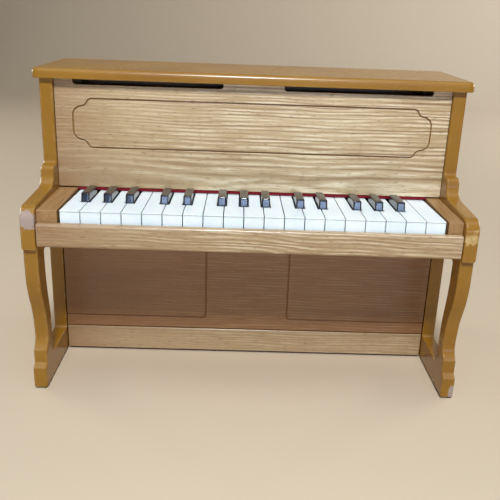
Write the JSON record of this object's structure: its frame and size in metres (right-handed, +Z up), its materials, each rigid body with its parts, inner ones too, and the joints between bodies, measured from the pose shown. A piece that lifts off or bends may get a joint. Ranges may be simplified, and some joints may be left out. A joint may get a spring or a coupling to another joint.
{
  "type": "toy piano",
  "caption": "Small wooden upright toy piano with curved legs and a flat lid; sprung white and black keys turn on a steel rod and swing hammers at tuned metal tubes in the closed cabinet.",
  "frame": {"origin": "on the floor, under the centre of the bounding box", "axes": "+X along the keyboard to the player's right, -Y towards the player, +Z up"},
  "size_m": [0.428, 0.205, 0.302],
  "materials": {
    "painted_wood": "smooth satin paint in light ochre",
    "wood_veneer": "open-grained pale veneer, clear gloss lacquer, grain level",
    "plain_board": "bare fibreboard",
    "foot_felt": "thin dark felt pad",
    "red_felt": "deep red felt",
    "action_felt": "grey-green felt",
    "action_plastic": "moulded, dark grey",
    "steel": "drawn steel",
    "spring_brass": "rolled spring strip",
    "tube_aluminium": "drawn tube, bright",
    "saddle_foam": "dense foam rubber",
    "white_plastic": "moulded, polished white",
    "black_plastic": "moulded, polished black"
  },
  "bodies": {
    "cabinet": {"lid": "painted_wood", "left_side_board": "painted_wood", "right_side_board": "painted_wood", "left_cheek_block": "painted_wood", "right_cheek_block": "painted_wood", "upper_panel": "wood_veneer", "lower_panel": "wood_veneer", "bottom_rail": "wood_veneer", "key_slip": "wood_veneer", "keybed": "plain_board", "back_board": "plain_board", "bottom_board": "plain_board", "back_posts": "plain_board", "upper_panel_cleats": "plain_board", "lower_panel_cleats": "plain_board", "tube_board": "plain_board", "feet": "foot_felt", "nameboard_felt": "red_felt", "front_stop_felt": "action_felt", "rear_rest_felt": "action_felt", "pivot_comb": "action_plastic", "key_guide_rail": "action_plastic", "pivot_rod": "steel", "cabinet_screws": "steel", "return_spring_comb": "spring_brass", "tone_tubes": "tube_aluminium", "upper_tube_saddle": "saddle_foam", "lower_tube_saddle": "saddle_foam"},
    "white_key_01": {"white_key_01": "white_plastic"},
    "black_key_01": {"black_key_01": "black_plastic"},
    "white_key_02": {"white_key_02": "white_plastic"},
    "black_key_02": {"black_key_02": "black_plastic"},
    "white_key_03": {"white_key_03": "white_plastic"},
    "black_key_03": {"black_key_03": "black_plastic"},
    "white_key_04": {"white_key_04": "white_plastic"},
    "white_key_05": {"white_key_05": "white_plastic"},
    "black_key_04": {"black_key_04": "black_plastic"},
    "white_key_06": {"white_key_06": "white_plastic"},
    "black_key_05": {"black_key_05": "black_plastic"},
    "white_key_07": {"white_key_07": "white_plastic"},
    "white_key_08": {"white_key_08": "white_plastic"},
    "black_key_06": {"black_key_06": "black_plastic"},
    "white_key_09": {"white_key_09": "white_plastic"},
    "black_key_07": {"black_key_07": "black_plastic"},
    "white_key_10": {"white_key_10": "white_plastic"},
    "black_key_08": {"black_key_08": "black_plastic"},
    "white_key_11": {"white_key_11": "white_plastic"},
    "white_key_12": {"white_key_12": "white_plastic"},
    "black_key_09": {"black_key_09": "black_plastic"},
    "white_key_13": {"white_key_13": "white_plastic"},
    "black_key_10": {"black_key_10": "black_plastic"},
    "white_key_14": {"white_key_14": "white_plastic"},
    "white_key_15": {"white_key_15": "white_plastic"},
    "black_key_11": {"black_key_11": "black_plastic"},
    "white_key_16": {"white_key_16": "white_plastic"},
    "black_key_12": {"black_key_12": "black_plastic"},
    "white_key_17": {"white_key_17": "white_plastic"},
    "black_key_13": {"black_key_13": "black_plastic"},
    "white_key_18": {"white_key_18": "white_plastic"},
    "white_key_19": {"white_key_19": "white_plastic"}
  },
  "joints": [
    {"name": "white_key_01_press", "type": "hinge", "parent": "cabinet", "child": "white_key_01", "pos_m": [-0.16833, 0.008, 0.17], "axis": [1, 0, 0], "range_deg": [0, 3.36], "stiffness_Nm_per_rad": 0.25, "springref_deg": -6.88, "deforming": ["return_spring_comb"]},
    {"name": "black_key_01_press", "type": "hinge", "parent": "cabinet", "child": "black_key_01", "pos_m": [-0.15801, 0.008, 0.17], "axis": [1, 0, 0], "range_deg": [0, 3.36], "stiffness_Nm_per_rad": 0.25, "springref_deg": -6.88, "deforming": ["return_spring_comb"]},
    {"name": "white_key_02_press", "type": "hinge", "parent": "cabinet", "child": "white_key_02", "pos_m": [-0.14747, 0.008, 0.17], "axis": [1, 0, 0], "range_deg": [0, 3.36], "stiffness_Nm_per_rad": 0.25, "springref_deg": -6.88, "deforming": ["return_spring_comb"]},
    {"name": "black_key_02_press", "type": "hinge", "parent": "cabinet", "child": "black_key_02", "pos_m": [-0.13692, 0.008, 0.17], "axis": [1, 0, 0], "range_deg": [0, 3.36], "stiffness_Nm_per_rad": 0.25, "springref_deg": -6.88, "deforming": ["return_spring_comb"]},
    {"name": "white_key_03_press", "type": "hinge", "parent": "cabinet", "child": "white_key_03", "pos_m": [-0.12638, 0.008, 0.17], "axis": [1, 0, 0], "range_deg": [0, 3.36], "stiffness_Nm_per_rad": 0.25, "springref_deg": -6.88, "deforming": ["return_spring_comb"]},
    {"name": "black_key_03_press", "type": "hinge", "parent": "cabinet", "child": "black_key_03", "pos_m": [-0.11583, 0.008, 0.17], "axis": [1, 0, 0], "range_deg": [0, 3.36], "stiffness_Nm_per_rad": 0.25, "springref_deg": -6.88, "deforming": ["return_spring_comb"]},
    {"name": "white_key_04_press", "type": "hinge", "parent": "cabinet", "child": "white_key_04", "pos_m": [-0.10551, 0.008, 0.17], "axis": [1, 0, 0], "range_deg": [0, 3.36], "stiffness_Nm_per_rad": 0.25, "springref_deg": -6.88, "deforming": ["return_spring_comb"]},
    {"name": "white_key_05_press", "type": "hinge", "parent": "cabinet", "child": "white_key_05", "pos_m": [-0.09356, 0.008, 0.17], "axis": [1, 0, 0], "range_deg": [0, 3.36], "stiffness_Nm_per_rad": 0.25, "springref_deg": -6.88, "deforming": ["return_spring_comb"]},
    {"name": "black_key_04_press", "type": "hinge", "parent": "cabinet", "child": "black_key_04", "pos_m": [-0.08282, 0.008, 0.17], "axis": [1, 0, 0], "range_deg": [0, 3.36], "stiffness_Nm_per_rad": 0.25, "springref_deg": -6.88, "deforming": ["return_spring_comb"]},
    {"name": "white_key_06_press", "type": "hinge", "parent": "cabinet", "child": "white_key_06", "pos_m": [-0.07186, 0.008, 0.17], "axis": [1, 0, 0], "range_deg": [0, 3.36], "stiffness_Nm_per_rad": 0.25, "springref_deg": -6.88, "deforming": ["return_spring_comb"]},
    {"name": "black_key_05_press", "type": "hinge", "parent": "cabinet", "child": "black_key_05", "pos_m": [-0.0609, 0.008, 0.17], "axis": [1, 0, 0], "range_deg": [0, 3.36], "stiffness_Nm_per_rad": 0.25, "springref_deg": -6.88, "deforming": ["return_spring_comb"]},
    {"name": "white_key_07_press", "type": "hinge", "parent": "cabinet", "child": "white_key_07", "pos_m": [-0.05016, 0.008, 0.17], "axis": [1, 0, 0], "range_deg": [0, 3.36], "stiffness_Nm_per_rad": 0.25, "springref_deg": -6.88, "deforming": ["return_spring_comb"]},
    {"name": "white_key_08_press", "type": "hinge", "parent": "cabinet", "child": "white_key_08", "pos_m": [-0.0382, 0.008, 0.17], "axis": [1, 0, 0], "range_deg": [0, 3.36], "stiffness_Nm_per_rad": 0.25, "springref_deg": -6.88, "deforming": ["return_spring_comb"]},
    {"name": "black_key_06_press", "type": "hinge", "parent": "cabinet", "child": "black_key_06", "pos_m": [-0.02788, 0.008, 0.17], "axis": [1, 0, 0], "range_deg": [0, 3.36], "stiffness_Nm_per_rad": 0.25, "springref_deg": -6.88, "deforming": ["return_spring_comb"]},
    {"name": "white_key_09_press", "type": "hinge", "parent": "cabinet", "child": "white_key_09", "pos_m": [-0.01734, 0.008, 0.17], "axis": [1, 0, 0], "range_deg": [0, 3.36], "stiffness_Nm_per_rad": 0.25, "springref_deg": -6.88, "deforming": ["return_spring_comb"]},
    {"name": "black_key_07_press", "type": "hinge", "parent": "cabinet", "child": "black_key_07", "pos_m": [-0.00679, 0.008, 0.17], "axis": [1, 0, 0], "range_deg": [0, 3.36], "stiffness_Nm_per_rad": 0.25, "springref_deg": -6.88, "deforming": ["return_spring_comb"]},
    {"name": "white_key_10_press", "type": "hinge", "parent": "cabinet", "child": "white_key_10", "pos_m": [0.00375, 0.008, 0.17], "axis": [1, 0, 0], "range_deg": [0, 3.36], "stiffness_Nm_per_rad": 0.25, "springref_deg": -6.88, "deforming": ["return_spring_comb"]},
    {"name": "black_key_08_press", "type": "hinge", "parent": "cabinet", "child": "black_key_08", "pos_m": [0.0143, 0.008, 0.17], "axis": [1, 0, 0], "range_deg": [0, 3.36], "stiffness_Nm_per_rad": 0.25, "springref_deg": -6.88, "deforming": ["return_spring_comb"]},
    {"name": "white_key_11_press", "type": "hinge", "parent": "cabinet", "child": "white_key_11", "pos_m": [0.02461, 0.008, 0.17], "axis": [1, 0, 0], "range_deg": [0, 3.36], "stiffness_Nm_per_rad": 0.25, "springref_deg": -6.88, "deforming": ["return_spring_comb"]},
    {"name": "white_key_12_press", "type": "hinge", "parent": "cabinet", "child": "white_key_12", "pos_m": [0.03657, 0.008, 0.17], "axis": [1, 0, 0], "range_deg": [0, 3.36], "stiffness_Nm_per_rad": 0.25, "springref_deg": -6.88, "deforming": ["return_spring_comb"]},
    {"name": "black_key_09_press", "type": "hinge", "parent": "cabinet", "child": "black_key_09", "pos_m": [0.04731, 0.008, 0.17], "axis": [1, 0, 0], "range_deg": [0, 3.36], "stiffness_Nm_per_rad": 0.25, "springref_deg": -6.88, "deforming": ["return_spring_comb"]},
    {"name": "white_key_13_press", "type": "hinge", "parent": "cabinet", "child": "white_key_13", "pos_m": [0.05827, 0.008, 0.17], "axis": [1, 0, 0], "range_deg": [0, 3.36], "stiffness_Nm_per_rad": 0.25, "springref_deg": -6.88, "deforming": ["return_spring_comb"]},
    {"name": "black_key_10_press", "type": "hinge", "parent": "cabinet", "child": "black_key_10", "pos_m": [0.06923, 0.008, 0.17], "axis": [1, 0, 0], "range_deg": [0, 3.36], "stiffness_Nm_per_rad": 0.25, "springref_deg": -6.88, "deforming": ["return_spring_comb"]},
    {"name": "white_key_14_press", "type": "hinge", "parent": "cabinet", "child": "white_key_14", "pos_m": [0.07997, 0.008, 0.17], "axis": [1, 0, 0], "range_deg": [0, 3.36], "stiffness_Nm_per_rad": 0.25, "springref_deg": -6.88, "deforming": ["return_spring_comb"]},
    {"name": "white_key_15_press", "type": "hinge", "parent": "cabinet", "child": "white_key_15", "pos_m": [0.09192, 0.008, 0.17], "axis": [1, 0, 0], "range_deg": [0, 3.36], "stiffness_Nm_per_rad": 0.25, "springref_deg": -6.88, "deforming": ["return_spring_comb"]},
    {"name": "black_key_11_press", "type": "hinge", "parent": "cabinet", "child": "black_key_11", "pos_m": [0.10224, 0.008, 0.17], "axis": [1, 0, 0], "range_deg": [0, 3.36], "stiffness_Nm_per_rad": 0.25, "springref_deg": -6.88, "deforming": ["return_spring_comb"]},
    {"name": "white_key_16_press", "type": "hinge", "parent": "cabinet", "child": "white_key_16", "pos_m": [0.11279, 0.008, 0.17], "axis": [1, 0, 0], "range_deg": [0, 3.36], "stiffness_Nm_per_rad": 0.25, "springref_deg": -6.88, "deforming": ["return_spring_comb"]},
    {"name": "black_key_12_press", "type": "hinge", "parent": "cabinet", "child": "black_key_12", "pos_m": [0.12333, 0.008, 0.17], "axis": [1, 0, 0], "range_deg": [0, 3.36], "stiffness_Nm_per_rad": 0.25, "springref_deg": -6.88, "deforming": ["return_spring_comb"]},
    {"name": "white_key_17_press", "type": "hinge", "parent": "cabinet", "child": "white_key_17", "pos_m": [0.13388, 0.008, 0.17], "axis": [1, 0, 0], "range_deg": [0, 3.36], "stiffness_Nm_per_rad": 0.25, "springref_deg": -6.88, "deforming": ["return_spring_comb"]},
    {"name": "black_key_13_press", "type": "hinge", "parent": "cabinet", "child": "black_key_13", "pos_m": [0.14442, 0.008, 0.17], "axis": [1, 0, 0], "range_deg": [0, 3.36], "stiffness_Nm_per_rad": 0.25, "springref_deg": -6.88, "deforming": ["return_spring_comb"]},
    {"name": "white_key_18_press", "type": "hinge", "parent": "cabinet", "child": "white_key_18", "pos_m": [0.15474, 0.008, 0.17], "axis": [1, 0, 0], "range_deg": [0, 3.36], "stiffness_Nm_per_rad": 0.25, "springref_deg": -6.88, "deforming": ["return_spring_comb"]},
    {"name": "white_key_19_press", "type": "hinge", "parent": "cabinet", "child": "white_key_19", "pos_m": [0.16981, 0.008, 0.17], "axis": [1, 0, 0], "range_deg": [0, 3.36], "stiffness_Nm_per_rad": 0.25, "springref_deg": -6.88, "deforming": ["return_spring_comb"]}
  ]
}
